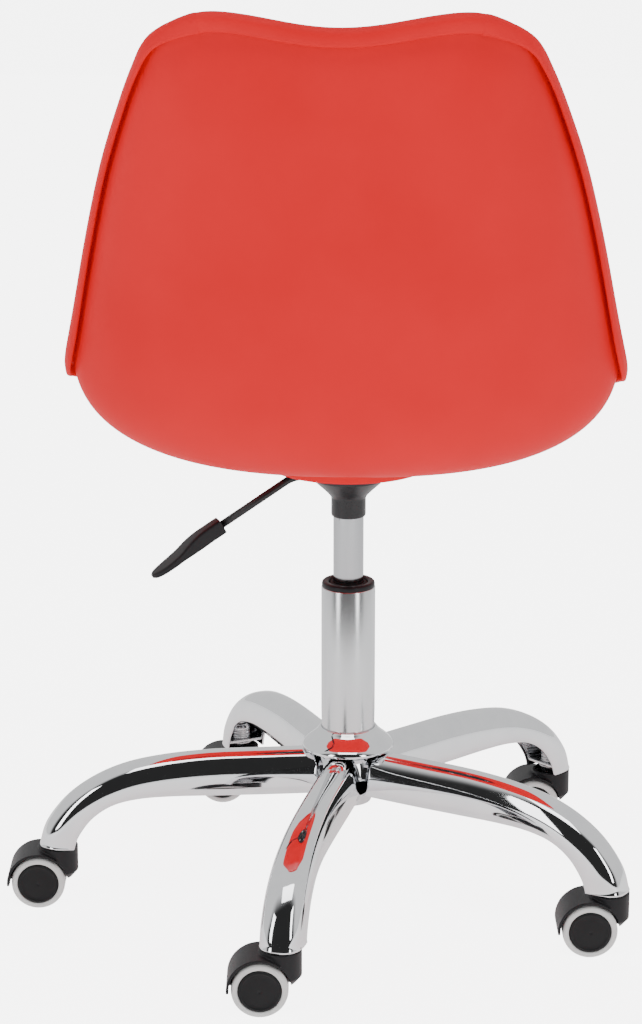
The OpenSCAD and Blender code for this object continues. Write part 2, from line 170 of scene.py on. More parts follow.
FINISHES = {
    "red_shell": moulded_plastic(
        "red moulding", (0.84, 0.003, 0.009), (0.9, 0.005, 0.013), 1500.0, (0.5, 0.62),
        shine=0.22),
    "red_leather": leather("red leatherette", (0.5, 0.014, 0.015), (0.6, 0.02, 0.02)),
    "black_plastic": moulded_plastic(
        "black nylon", (0.007, 0.007, 0.009), (0.013, 0.013, 0.015), 1900.0, (0.36, 0.54), shine=0.3),
    "wheel_black": moulded_plastic(
        "black wheel nylon", (0.006, 0.006, 0.007), (0.011, 0.011, 0.012), 2300.0, (0.42, 0.62), shine=0.3),
    "pale_tread": soft_rubber("pale polyurethane", (0.8, 0.795, 0.785), (0.88, 0.875, 0.865), (0.42, 0.58)),
    "rubber": soft_rubber("black rubber", (0.012, 0.012, 0.012), (0.024, 0.024, 0.024), (0.6, 0.8)),
    "chrome": plated_metal("chrome plate", (0.8, 0.81, 0.83), (0.86, 0.865, 0.88), (0.025, 0.06)),
    "satin_chrome": plated_metal(
        "brushed chrome", (0.66, 0.665, 0.68), (0.76, 0.765, 0.775), (0.15, 0.26), 0.00002, (1.0, 1.0, 0.04)),
    "steel": plated_metal("zinc-plated steel", (0.5, 0.5, 0.51), (0.64, 0.64, 0.65), (0.2, 0.36)),
    "cylinder_steel": plated_metal(
        "ground steel", (0.44, 0.445, 0.46), (0.54, 0.545, 0.56), (0.1, 0.18), 0.00002, (1.0, 1.0, 0.03)),
    "zinc": plated_metal("bright zinc", (0.6, 0.6, 0.61), (0.74, 0.74, 0.75), (0.12, 0.26)),
    "black_enamel": moulded_plastic(
        "black powder coat", (0.012, 0.012, 0.013), (0.02, 0.02, 0.022), 1100.0, (0.24, 0.4), 0.00012),
    "brass": plated_metal("brass", (0.6, 0.42, 0.16), (0.72, 0.53, 0.24), (0.2, 0.35)),
}
SLOT_OF = {entry["node"]: entry["material_slot"] for entry in frame["record"]["subparts"]}


def dress(piece, slot):
    """Gives the piece the finish of a slot and no other."""
    piece.data.materials.clear()
    piece.data.materials.append(FINISHES[slot])


for name, node in nodes.items():
    dress(node, SLOT_OF[name])


# ---------------------------------------------------------------- mesh helpers

def new_piece(name, points, faces, slot, body, replaced=()):
    """A mesh object in the row frame, dressed, riding on its body and standing for CAD nodes."""
    mesh = bpy.data.meshes.new(name)
    mesh.from_pydata([tuple(p) for p in points], [], [tuple(f) for f in faces])
    bm = bmesh.new()
    bm.from_mesh(mesh)
    bmesh.ops.recalc_face_normals(bm, faces=bm.faces)
    bm.to_mesh(mesh)
    bm.free()
    piece = bpy.data.objects.new(name, mesh)
    bpy.context.scene.collection.objects.link(piece)
    mesh.polygons.foreach_set("use_smooth", [True] * len(mesh.polygons))
    dress(piece, slot)
    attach(piece, body)
    if replaced:
        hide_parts(*replaced)
    return piece


def apply_modifiers(piece):
    """Bakes the piece's modifiers into its mesh."""
    bpy.context.view_layer.update()
    graph = bpy.context.evaluated_depsgraph_get()
    mesh = bpy.data.meshes.new_from_object(piece.evaluated_get(graph))
    piece.modifiers.clear()
    old = piece.data
    piece.data = mesh
    bpy.data.meshes.remove(old)


def ring_faces(rings, n, loop=False):
    """Quads between closed rings of n points; loop joins the last ring to the first."""
    faces = []
    for i in range(rings if loop else rings - 1):
        for j in range(n):
            a, b = i * n + j, i * n + (j + 1) % n
            c, d = (a + n) % (rings * n), (b + n) % (rings * n)
            faces.append((a, b, d, c))
    return faces


def end_faces(rings, n, first=0):
    """The two flat faces that close a run of rings, its points starting at first."""
    last = first + (rings - 1) * n
    return [tuple(range(first, first + n)), tuple(range(last, last + n))]


def curve(rows, t):
    """Smooth curve through rows of values, t from 0 at the first row to 1 at the last."""
    rows = np.asarray(rows, float)
    last = len(rows) - 1
    at = min(max(t, 0.0), 1.0) * last
    i = min(int(at), last - 1)
    f = at - i
    a, b, c, d = rows[max(i - 1, 0)], rows[i], rows[i + 1], rows[min(i + 2, last)]
    return b + 0.5 * f * ((c - a) + f * ((2 * a - 5 * b + 4 * c - d) + f * (3 * b - 3 * c + d - a)))


def unit(v):
    return v / np.linalg.norm(v)


# ---------------------------------------------------------------- seat shell

# From the front edge to the top of the back, in mm: spine y and z, border x, y and z, the power
# of the bulge between them, and how far the bulge gives way to a dipped crest
SHELL_ROWS = [
    (-232, 447, 150, -228, 455, 2.4, 1.0), (-205, 442, 203, -196, 462, 2.4, 0.3),
    (-130, 430, 220, -120, 478, 2.5, 0.0), (-55, 426, 230, -25, 500, 2.6, 0.0),
    (50, 426, 237, 60, 522, 2.6, 0.0), (120, 440, 238, 100, 536, 2.5, 0.0),
    (168, 493, 228, 116, 582, 2.5, 0.0), (187, 570, 214, 131, 650, 2.7, 0.0),
    (200, 655, 198, 149, 715, 3, 0.0), (211, 735, 180, 168, 768, 3.2, 0),
    (217, 785, 166, 185, 802, 3, 0.1), (220.5, 815, 151, 200, 828, 2.6, 0.5),
    (222, 834, 117, 214, 847, 2.2, 1.0)]
SHELL_T = 4.5
BULGE_REACH = 0.995
SKIN_ARC = 87
ACROSS, ALONG = 96, 136


def smooth_rows(samples, passes=6):
    """Curve samples with the joins between rows eased, the two ends kept."""
    rows = np.array([curve(SHELL_ROWS, t) for t in np.linspace(0, 1, samples)])
    for _ in range(passes):
        rows[1:-1] = 0.25 * rows[:-2] + 0.5 * rows[1:-1] + 0.25 * rows[2:]
    return rows


SHELL_CURVE = smooth_rows(ALONG + 1)


def skin(u, s):
    """Outside of the shell in mm: u from -1 to 1 across it, s from 0 at the front to 1 at the top."""
    at = min(max(s, 0.0), 1.0) * ALONG
    i = min(int(at), ALONG - 1)
    yc, zc, xr, yr, zr, power, crest = SHELL_CURVE[i] + (at - i) * (SHELL_CURVE[i + 1] - SHELL_CURVE[i])
    x = math.sin(math.radians(SKIN_ARC * u)) / math.sin(math.radians(SKIN_ARC))
    swell = 1 - (1 - (BULGE_REACH * abs(x)) ** power) ** (1 / power)
    swell /= 1 - (1 - BULGE_REACH ** power) ** (1 / power)
    g = (1 - crest) * swell + crest * (1 - math.cos(math.pi * x)) / 2
    return np.array([xr * x, yc + (yr - yc) * g, zc + (zr - zc) * g])


def grid_normals(grid):
    """Unit normals of a grid of points, towards the sitter."""
    du = np.gradient(grid, axis=1)
    ds = np.gradient(grid, axis=0)
    n = np.cross(du, ds)
    return n / np.linalg.norm(n, axis=2, keepdims=True)


def border_places(rows, columns):
    """Places in order round the border of a grid."""
    return ([(0, j) for j in range(columns - 1)] + [(i, columns - 1) for i in range(rows - 1)]
            + [(rows - 1, j) for j in range(columns - 1, 0, -1)] + [(i, 0) for i in range(rows - 1, 0, -1)])


def eased(grid, reach=30.0, spread=15.0):
    """The grid with its four corners rounded, and the skin beside them carried along."""
    rows, columns = zip(*border_places(*grid.shape[:2]))
    ring = grid[rows, columns]
    steps = np.linalg.norm(np.roll(ring, -1, axis=0) - ring, axis=1)
    travelled = np.concatenate([[0], np.cumsum(steps)])
    gap = np.abs(travelled[:-1, None] - travelled[None, :-1])
    gap = np.minimum(gap, travelled[-1] - gap)
    weight = np.exp(-(gap / spread) ** 2) * (steps + np.roll(steps, 1))[None, :]
    soft = weight @ ring / weight.sum(axis=1, keepdims=True)
    corners = [grid[0, 0], grid[0, -1], grid[-1, 0], grid[-1, -1]]
    near = sum(np.exp(-(np.linalg.norm(ring - corner, axis=1) / reach) ** 2) for corner in corners)
    shift = (soft - ring) * near[:, None]
    result = grid.copy()
    for i, row in enumerate(grid):
        away = np.linalg.norm(row[:, None] - ring[None], axis=2)
        nearest = away.argmin(axis=1)
        result[i] += shift[nearest] * np.exp(-(away.min(axis=1) / reach) ** 2)[:, None]
    return result


OUTSIDE = eased(np.array([
    [skin(u, s) for u in np.linspace(-1, 1, ACROSS + 1)]
    for s in np.linspace(0, 1, ALONG + 1)]))
INWARD = grid_normals(OUTSIDE)
INSIDE = OUTSIDE + SHELL_T * INWARD


def sheet(outer, inner, rims):
    """Points and faces of a closed sheet between two grids; rims are rings from outer to inner."""
    rows, columns = outer.shape[:2]
    total = rows * columns
    points = list(outer.reshape(-1, 3)) + list(inner.reshape(-1, 3))
    faces = []
    for i in range(rows - 1):
        for j in range(columns - 1):
            a, b = i * columns + j, i * columns + j + 1
            c, d = b + columns, a + columns
            faces += [(a, b, c, d), (d + total, c + total, b + total, a + total)]
    places = border_places(rows, columns)
    n = len(places)
    loops = [[i * columns + j for i, j in places]]
    for ring in rims:
        loops.append(list(range(len(points), len(points) + n)))
        points += list(ring)
    loops.append([i * columns + j + total for i, j in places])
    for first, second in zip(loops, loops[1:]):
        faces += [(first[k], second[k], second[(k + 1) % n], first[(k + 1) % n]) for k in range(n)]
    return points, faces


# Section of the rolled rim in mm, from the outer skin over to the inner one: distance out
# past the border, and distance back from the outer skin
RIM_SECTION = [
    (1.2, 0.1), (2.3, 0.7), (2.8, 1.7), (2.3, 2.8), (1.0, 3.4), (-3.0, 3.6), (-6.6, 3.8), (-7.9, 4.3),
    (-8.6, 5.4), (-8.6, 6.6), (-7.8, 7.8), (-6.4, 8.3), (-3.0, 8.4), (0.6, 8.2), (3.4, 7.4), (5.4, 5.7),
    (6.6, 3.2), (6.9, 0.4), (6.3, -2.0), (4.6, -3.8), (2.4, -4.45)]


def seat_shell():
    """The moulded shell: two skins joined by a rolled rim."""
    places = border_places(ALONG + 1, ACROSS + 1)
    edge = np.array([OUTSIDE[p] for p in places])
    face = np.array([INWARD[p] for p in places])
    run = np.roll(edge, -1, axis=0) - np.roll(edge, 1, axis=0)
    out = np.cross(run, face)
    out /= np.linalg.norm(out, axis=1, keepdims=True)
    for _ in range(10):
        out = 0.25 * np.roll(out, 1, axis=0) + 0.5 * out + 0.25 * np.roll(out, -1, axis=0)
        out /= np.linalg.norm(out, axis=1, keepdims=True)
    rims = [edge + a * out - b * face for a, b in RIM_SECTION]
    points, faces = sheet(OUTSIDE, INSIDE, rims)
    return new_piece("seat_shell_skin", np.array(points) * MM, faces, "red_shell", "seat", ["seat_shell"])


def turned(name, section, slot, body, replaced=(), at=(0, 0), sides=96, finish=None):
    """A solid turned about a vertical axis from (r, z) points in mm; finish overrides the slot's own."""
    points = []
    for k in range(sides):
        a = 2 * math.pi * k / sides
        points += [(at[0] + r * math.cos(a), at[1] + r * math.sin(a), z) for r, z in section]
    faces = ring_faces(sides, len(section), loop=True)
    piece = new_piece(name, np.array(points) * MM, faces, slot, body, replaced)
    dress(piece, finish or slot)
    return piece


def shell_boss():
    """Round boss moulded under the shell, with a soft top edge that runs into the skin."""
    section = [
        (69, 430), (68.6, 429), (68.6, 420), (69.2, 419.2), (73.6, 419), (74.7, 419.6), (75, 420.6),
        (75.2, 426), (76, 428.6), (77.6, 430.6), (78, 432), (69, 432)]
    turned("shell_boss", section, "red_shell", "seat")


seat_shell()
shell_boss()


# ---------------------------------------------------------------- base

LEG_ANGLE = 7.8
LEG_COUNT = 5
HUB_R = 30
LEG_WALL = 2.2
ARCH_POINTS, LEG_STEPS = 33, 72
# Along a leg in mm: ridge r and z, lower edge r and z, half width
LEG_ROWS = [
    (30, 146, 30, 107, 18), (80, 146, 80, 107, 18), (130, 145.5, 125, 107.5, 18),
    (172, 142, 168, 108, 18.4), (208, 135, 198, 106.5, 18.8), (238, 122.5, 222, 101, 19.4),
    (264, 104, 241, 89, 19.8), (283, 80, 254, 72, 20), (290, 58.4, 259, 58.4, 20)]


def spun(points, degrees):
    """Points turned about the Z axis."""
    a = math.radians(degrees)
    turn = np.array([[math.cos(a), -math.sin(a), 0], [math.sin(a), math.cos(a), 0], [0, 0, 1]])
    return np.asarray(points) @ turn.T


def arch(row, inset, power=2.7):
    """One inverted-U section of a leg, from one lower edge over the ridge to the other."""
    ridge, edge, half = np.array(row[0:2]), np.array(row[2:4]), row[4]
    rise = ridge - edge
    rise = rise * (np.linalg.norm(rise) - inset) / np.linalg.norm(rise)
    points = []
    for side in np.linspace(0, math.pi, ARCH_POINTS):
        up = math.sin(side) ** (2 / power)
        across = math.copysign(abs(math.cos(side)) ** (2 / power), math.cos(side))
        r, z = edge + rise * up
        points.append((r, (half - inset) * across, z))
    return points


def leg(index):
    """One pressed leg, open underneath, from the hub to its mouth over the caster."""
    rings = []
    for i in range(LEG_STEPS + 1):
        row = curve(LEG_ROWS, i / LEG_STEPS)
        # both long edges of the sheet are rounded, and a bead thickens the mouth
        bead = 0.5 * max(0.0, 1 - (LEG_STEPS - i) / 2.0)
        outer, inner = np.array(arch(row, -bead)), np.array(arch(row, LEG_WALL))[::-1]
        low = row[2:4] - 0.35 * LEG_WALL * unit(row[0:2] - row[2:4])
        lip = [np.array([low[0], side * (row[4] - LEG_WALL / 2), low[1]]) for side in (-1, 1)]
        ring = np.vstack([outer, [lip[0]], inner, [lip[1]]])
        if i == 0:
            ring[:, 0] = np.sqrt((HUB_R + 0.02) ** 2 - ring[:, 1] ** 2)
        rings.append(ring)
    n = len(rings[0])
    points = spun(np.vstack(rings), LEG_ANGLE + 360 / LEG_COUNT * index)
    faces = ring_faces(len(rings), n)
    for first in (0, (len(rings) - 1) * n):
        for j in range(ARCH_POINTS - 1):
            a, b = first + j, first + j + 1
            c, d = first + 2 * ARCH_POINTS - 1 - j, first + 2 * ARCH_POINTS - j
            faces.append((a, b, c, d))
        faces.append((first + ARCH_POINTS - 1, first + ARCH_POINTS, first + ARCH_POINTS + 1))
        faces.append((first, first + 2 * ARCH_POINTS, first + 2 * ARCH_POINTS + 1))
    name = f"leg_{index + 1}"
    return new_piece(f"{name}_skin", points * MM, faces, "chrome", "root", [name])


def column_outside(z):
    """Radius of the column, which tapers towards its foot."""
    return 25.0 if z >= 180 else 22 + 3 * (z - 93) / 87


def base():
    """Legs, hub, column and the bush in its mouth, and the gas cylinder that rises through it."""
    for index in range(LEG_COUNT):
        leg(index)
    r0, r1 = column_outside(105), column_outside(150)
    turned("hub_skin", [
        (r0, 106), (r0 + 0.8, 105), (28.6, 105), (29.5, 105.4), (30, 106.6), (30, 150), (r1, 150)],
        "chrome", "root", ["base_hub"], sides=128)
    turned("hub_collar_skin", [
        (30, 147), (41.6, 147), (42.6, 147.3), (43, 148.2), (43, 149.6), (42.3, 151), (40.4, 153.2),
        (37, 156.2), (33.4, 159), (30.2, 161.9), (28, 164.4), (26.9, 166), (26.1, 166.7), (25.2, 166.5),
        (column_outside(166), 165.6), (r1, 150), (30, 150)],
        "chrome", "root", ["hub_collar"], sides=128)
    turned("column_skin", [
        (5.3, 93), (20.6, 93), (21.5, 93.3), (22, 94.2), (r0, 105), (24.2, 157), (24.8, 172), (25, 184),
        (25, 302), (24.7, 302.7), (24.2, 303), (23.8, 302.9), (23.5, 302.4), (23.5, 180),
        (20.5, 97), (5.3, 97)],
        "chrome", "root", ["column_tube"], sides=128, finish="satin_chrome")
    turned("guide_bush_skin", [
        (14.05, 210), (23.5, 210), (23.5, 302.6), (24.4, 303), (24.6, 303.6), (24.6, 305.8), (24.2, 307),
        (23.4, 307.8), (22.4, 308), (19.4, 308), (18.4, 307.4), (18, 306.2), (18, 305.2), (17.6, 305),
        (14.6, 305), (14.05, 304.6)],
        "black_plastic", "root", ["guide_bush"], sides=128)
    turned("wiper_ring", [
        (14.4, 305.1), (16.9, 305.1), (17.3, 305.5), (17.3, 306.3), (16.9, 306.8),
        (14.8, 307.2), (14.4, 306.9)],
        "rubber", "root")
    turned("gas_cylinder_skin", [
        (12, 165), (13.2, 165), (14, 165.8), (14, 368), (13.2, 397), (4.05, 397), (4.05, 389), (12, 389)],
        "cylinder_steel", "seat", ["gas_cylinder"], sides=128)


base()


# ---------------------------------------------------------------- pieces softened from the CAD

BODY_OF = {node: body for body, members in frame["record"]["behaviour"]["bodies"].items() for node in members}


def softened(node_name, voxel, passes, keep=0.4):
    """A copy of a CAD node with every moulded or pressed edge rounded, standing in its place."""
    node = nodes[node_name]
    mesh = node.data.copy()
    mesh.transform(node.matrix_world)
    piece = bpy.data.objects.new(f"{node_name}_skin", mesh)
    bpy.context.scene.collection.objects.link(piece)
    remesh = piece.modifiers.new("remesh", "REMESH")
    remesh.mode = "VOXEL"
    remesh.voxel_size = voxel * MM
    smooth = piece.modifiers.new("smooth", "SMOOTH")
    smooth.factor = 0.5
    smooth.iterations = passes
    thin = piece.modifiers.new("thin", "DECIMATE")
    thin.ratio = keep
    apply_modifiers(piece)
    piece.data.polygons.foreach_set("use_smooth", [True] * len(piece.data.polygons))
    dress(piece, SLOT_OF[node_name])
    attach(piece, BODY_OF[node_name])
    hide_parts(node_name)
    return piece


# ---------------------------------------------------------------- casters

STEM_CIRCLE_R = 273
CASTER_HEADING = 2.5
CASTER_TRAIL = 18
WHEEL_R = 25
CORE_R = 19.2
WHEEL_Y = 3.6


def caster_place(index):
    """Where a caster's stem stands."""
    a = math.radians(LEG_ANGLE + 360 / LEG_COUNT * index)
    return np.array([STEM_CIRCLE_R * math.cos(a), STEM_CIRCLE_R * math.sin(a), 0])


def on_axle(name, index, side, section, slot, body, replaced=()):
    """A ring turned about a caster's wheel axle from (r, out) points in mm, out along the axle."""
    sides = 72
    a = np.linspace(0, 2 * math.pi, sides, endpoint=False)
    points = []
    for angle in a:
        for r, out in section:
            points.append((
                CASTER_TRAIL + r * math.cos(angle), side * (WHEEL_Y + out), WHEEL_R + r * math.sin(angle)))
    points = spun(points, CASTER_HEADING) + caster_place(index)
    faces = ring_faces(sides, len(section), loop=True)
    return new_piece(name, points * MM, faces, slot, body, replaced)


TREAD_SECTION = [
    (CORE_R, 0.6), (22.6, 0.5), (23.8, 0.9), (24.7, 1.8), (25, 3.2), (25, 12.6), (24.7, 14.6), (23.9, 16),
    (22.7, 16.8), (21.2, 17.1), (20.1, 17), (19.5, 16.6), (CORE_R, 15.8)]
CORE_SECTION = [
    (3.1, 0), (18.4, 0), (19, 0.4), (19.1, 15.2), (18.8, 16.3), (18.2, 17.1), (17.3, 17.5), (16.4, 17.4),
    (15.9, 17), (15.4, 16.8), (12, 17), (7, 17.3), (3, 17.4), (0.05, 17.4), (0.05, 16.6), (3.1, 16.6)]


def caster(index):
    """A caster's housing, its two wheels and its stem."""
    n = index + 1
    softened(f"caster_housing_{n}", 0.55, 5, 0.35)
    for key, side in (("a", 1), ("b", -1)):
        body = f"wheel_{key}_{n}"
        tread, core = [f"wheel_tread_{key}_{n}"], [f"wheel_core_{key}_{n}"]
        on_axle(f"tread_{key}_{n}", index, side, TREAD_SECTION, "pale_tread", body, tread)
        on_axle(f"cap_{key}_{n}", index, side, CORE_SECTION, "wheel_black", body, core)
    place = caster_place(index)
    ball = [(4.8 * math.sin(a), 82 - 4.8 * math.cos(a)) for a in np.radians(np.arange(46, 176, 12))]
    turned(f"stem_{n}", [
        (0.3, 49), (4.8, 49), (5.5, 49.8), (5.5, 57.6), (7.6, 57.6), (8, 58), (8, 60.5), (7.6, 61),
        (5.5, 61.2), (5.5, 76.6), (4.9, 77.4), (3.5, 77.8)] + ball + [(0.3, 86.8)],
        "steel", "root", [f"caster_stem_{n}"], at=(place[0], place[1]), sides=64)


def caster_sockets():
    """Ribbed zinc sockets with a foot collar, and the bracket tab that holds each one in its leg."""
    softened("caster_sockets", 0.5, 2, 0.4)
    for index in range(LEG_COUNT):
        place = caster_place(index)
        turned(f"socket_collar_{index + 1}", [
            (9.4, 60.6), (11.4, 60.6), (12, 61.1), (12, 62.6), (11.4, 63.2), (9.4, 63.4)],
            "steel", "root", at=(place[0], place[1]), sides=64)
        turned(f"socket_ribs_{index + 1}", [
            (9.2, 67.6), (10.1, 68), (10.1, 69), (9.5, 69.6), (9.5, 70.6), (10.1, 71.2), (10.1, 72.2),
            (9.5, 72.8), (9.5, 73.8), (10, 74.3), (10, 75.2), (9.2, 75.8)],
            "steel", "root", at=(place[0], place[1]), sides=64)


for caster_index in range(LEG_COUNT):
    caster(caster_index)
caster_sockets()
softened("seat_plate", 0.8, 3, 0.3)


# ---------------------------------------------------------------- lever

LEVER_ANGLE = 21
PIVOT_Z = 411
BEND_OUT, BEND_R, DROOP = 46, 30, 30
GRIP_OUT = 122
ROD_R = 3.5
ROD_START, ROD_IN_GRIP = -2, 20


def lever_frame(down):
    """Origin and outward, upward directions on the lever's bend, down being the angle turned so far."""
    a = math.radians(down)
    return np.array([BEND_OUT + BEND_R * math.sin(a), 0, PIVOT_Z - BEND_R * (1 - math.cos(a))]), \
        np.array([math.cos(a), 0, -math.sin(a)]), np.array([math.sin(a), 0, math.cos(a)])


def lever_rod():
    """The lever's rod with its bend, down into the grip."""
    sides, steps = 32, 12
    corner, along, up = lever_frame(DROOP)
    straight = (GRIP_OUT - corner[0]) / math.cos(math.radians(DROOP))
    stations = [(np.array([ROD_START, 0, PIVOT_Z]), np.array([0, 0, 1]))]
    for k in range(steps + 1):
        centre, _, rise = lever_frame(DROOP * k / steps)
        stations.append((centre, rise))
    stations.append((corner + along * (straight + ROD_IN_GRIP), up))
    points = []
    for centre, rise in stations:
        for k in range(sides):
            a = 2 * math.pi * k / sides
            points.append(centre + ROD_R * (math.cos(a) * np.array([0, 1, 0]) + math.sin(a) * rise))
    faces = ring_faces(len(stations), sides) + end_faces(len(stations), sides)
    new_piece("lever_rod_skin", spun(points, LEVER_ANGLE) * MM, faces, "black_enamel", "lever", ["lever_rod"])


# Along the grip in mm: half height, half width, how far its middle has dropped, roundness power
GRIP_ROWS = [
    (0, 6.6, 6.6, 0, 7), (1.2, 7.1, 7.1, 0, 7), (14, 7.1, 7.2, 0, 7), (26, 6.8, 8.2, 0.3, 7),
    (36, 5.6, 9.4, 1, 7),
    (46, 4, 10, 2.2, 7), (56, 3.3, 10.2, 3.2, 7), (65, 3, 9.4, 3.8, 6), (71, 2.9, 7.8, 4, 5),
    (75.3, 2.6, 5.6, 4, 4), (78, 1.6, 2, 4, 3)]


def lever_grip():
    """A square socket round the rod that runs out into a flat paddle with a round end."""
    sides = 48
    corner, along, up = lever_frame(DROOP)
    start = corner + along * ((GRIP_OUT - corner[0]) / math.cos(math.radians(DROOP)))

    def ring(t, high, wide, drop, power):
        points = []
        for k in range(sides):
            a = 2 * math.pi * k / sides
            y = math.copysign(abs(math.cos(a)) ** (2 / power), math.cos(a)) * wide
            z = math.copysign(abs(math.sin(a)) ** (2 / power), math.sin(a)) * high
            points.append(start + along * t + y * np.array([0, 1, 0]) + (z - drop) * up)
        return points

    # the socket's mouth is hollow around the rod, then the outside runs from its rim to the round end
    rings = [
        ring(9, 3.6, 3.6, 0, 2), ring(8.6, 5, 5, 0, 4),
        ring(0.8, 5.2, 5.2, 0, 5), ring(0, 5.6, 5.6, 0, 6)]
    rings += [ring(*row) for row in (curve(GRIP_ROWS, k / 60) for k in range(61))]
    points = np.vstack(rings)
    faces = ring_faces(len(rings), sides) + end_faces(len(rings), sides)
    points = spun(points, LEVER_ANGLE) * MM
    new_piece("lever_grip_skin", points, faces, "black_plastic", "lever", ["lever_grip"])


lever_rod()
lever_grip()


# ---------------------------------------------------------------- cushion

CUSHION_S0, CUSHION_S1 = 0.055, 0.4
CUSHION_REACH = 0.76
SWELL = 7
CLOTH_FRAMES = 20
# The sewn channel lies just inside the piping: share of the cushion's reach, lift, depth and width
SEAM_REACH, SEAM_LIFT = 0.955, 12
CHANNEL_DEPTH, CHANNEL_WIDTH = 2.6, 5.5
PIPING_R, PIPING_LIFT = 2.3, 5.5
STITCH_PITCH, STITCH_HALF, STITCH_R, STITCH_RINGS = 7.5, 2.2, 0.6, 7


def cushion_edge(a, b, lift):
    """A point over the shell's inner skin, a and b running from -1 to 1 across the cushion."""
    u = CUSHION_REACH * b * math.sqrt(1 - 0.22 * a * a)
    s = (CUSHION_S0 + CUSHION_S1) / 2 + (CUSHION_S1 - CUSHION_S0) / 2 * a * math.sqrt(1 - 0.2 * b * b)
    here = skin(u, s)
    normal = unit(np.cross(skin(u + 0.01, s) - here, skin(u, s + 0.01) - here))
    return here + normal * math.copysign(SHELL_T + 0.6, normal[2]) + np.array([0, 0, lift])


def perimeter(shrink, lift, count=240):
    """A closed ring round the cushion, its corners eased."""
    ring = []
    for k in range(count):
        side, f = divmod(4 * k / count, 1)
        f = 2 * f - 1
        a, b = ((-1, f), (f, 1), (1, -f), (-f, -1))[int(side)]
        ring.append(cushion_edge(a * shrink, b * shrink, lift))
    ring = np.array(ring)
    for _ in range(count // 8):
        ring = (np.roll(ring, 1, axis=0) + 2 * ring + np.roll(ring, -1, axis=0)) / 4
    return ring


def inflated(piece):
    """Swells the pad with air pressure; its underside is held, and no point moves far."""
    mesh = piece.data
    before = np.array([v.co for v in mesh.vertices])
    held = piece.vertex_groups.new(name="held")
    held.add([v.index for v in mesh.vertices if v.normal.z < -0.15], 1.0, "REPLACE")
    cloth = piece.modifiers.new("cloth", "CLOTH")
    cloth.settings.use_pressure = True
    cloth.settings.uniform_pressure_force = 4.0
    cloth.settings.vertex_group_mass = "held"
    cloth.settings.effector_weights.gravity = 0.0
    cloth.point_cache.frame_start, cloth.point_cache.frame_end = 1, CLOTH_FRAMES
    for step in range(1, CLOTH_FRAMES + 1):
        bpy.context.scene.frame_set(step)
    graph = bpy.context.evaluated_depsgraph_get()
    swollen = piece.evaluated_get(graph).to_mesh()
    after = np.array([v.co for v in swollen.vertices])
    move = after - before
    length = np.maximum(np.linalg.norm(move, axis=1, keepdims=True), 1e-9)
    move = move / length * (SWELL * MM) * np.tanh(length / (SWELL * MM))
    piece.modifiers.clear()
    bpy.context.scene.frame_set(1)
    mesh.vertices.foreach_set("co", (before + move).ravel())
    mesh.update()


def seat_cushion():
    """The padded cushion, swollen from its CAD solid, with the channel sunk along its edge."""
    node = nodes["seat_cushion"]
    mesh = node.data.copy()
    mesh.transform(node.matrix_world)
    pad = bpy.data.objects.new("cushion_pad", mesh)
    bpy.context.scene.collection.objects.link(pad)
    remesh = pad.modifiers.new("remesh", "REMESH")
    remesh.mode = "VOXEL"
    remesh.voxel_size = 5 * MM
    smooth = pad.modifiers.new("smooth", "SMOOTH")
    smooth.iterations = 4
    apply_modifiers(pad)
    inflated(pad)
    seam, points = perimeter(SEAM_REACH, SEAM_LIFT), np.array([v.co for v in pad.data.vertices]) / MM
    reach = np.array([np.linalg.norm(seam[:, :2] - p[:2], axis=1).min() for p in points])
    normals = np.array([v.normal for v in pad.data.vertices])
    sunk = CHANNEL_DEPTH * np.exp(-(reach / CHANNEL_WIDTH) ** 2) * (normals[:, 2] > 0.1)
    pad.data.vertices.foreach_set("co", ((points - normals * sunk[:, None]) * MM).ravel())
    finer = pad.modifiers.new("finer", "SUBSURF")
    finer.levels = finer.render_levels = 1
    apply_modifiers(pad)
    pad.data.polygons.foreach_set("use_smooth", [True] * len(pad.data.polygons))
    dress(pad, "red_leather")
    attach(pad, "seat")
    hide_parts("seat_cushion")
    return pad


def snapped(pad, ring, out):
    """The ring's points dropped onto the pad's surface, standing out from it, and the surface's normals."""
    places, ups = [], []
    for p in ring:
        _, where, normal, _ = pad.closest_point_on_mesh(Vector(p * MM))
        places.append(np.array(where) / MM + out * np.array(normal))
        ups.append(np.array(normal))
    places, ups = np.array(places), np.array(ups)
    for _ in range(10):
        places = (np.roll(places, 1, axis=0) + 2 * places + np.roll(places, -1, axis=0)) / 4
        ups = (np.roll(ups, 1, axis=0) + 2 * ups + np.roll(ups, -1, axis=0)) / 4
    return places, ups / np.linalg.norm(ups, axis=1, keepdims=True)


def piping(pad):
    """A welt cord sewn round the cushion's edge."""
    ring, ups = snapped(pad, perimeter(1.0, PIPING_LIFT), 0.9)
    points, sides = [], 14
    for k, centre in enumerate(ring):
        along = unit(ring[(k + 1) % len(ring)] - ring[k - 1])
        across = unit(np.cross(along, ups[k]))
        rise = np.cross(across, along)
        for j in range(sides):
            a = 2 * math.pi * j / sides
            points.append(centre + PIPING_R * (math.cos(a) * across + math.sin(a) * rise))
    faces = ring_faces(len(ring), sides, loop=True)
    new_piece("cushion_piping", np.array(points) * MM, faces, "red_leather", "seat")


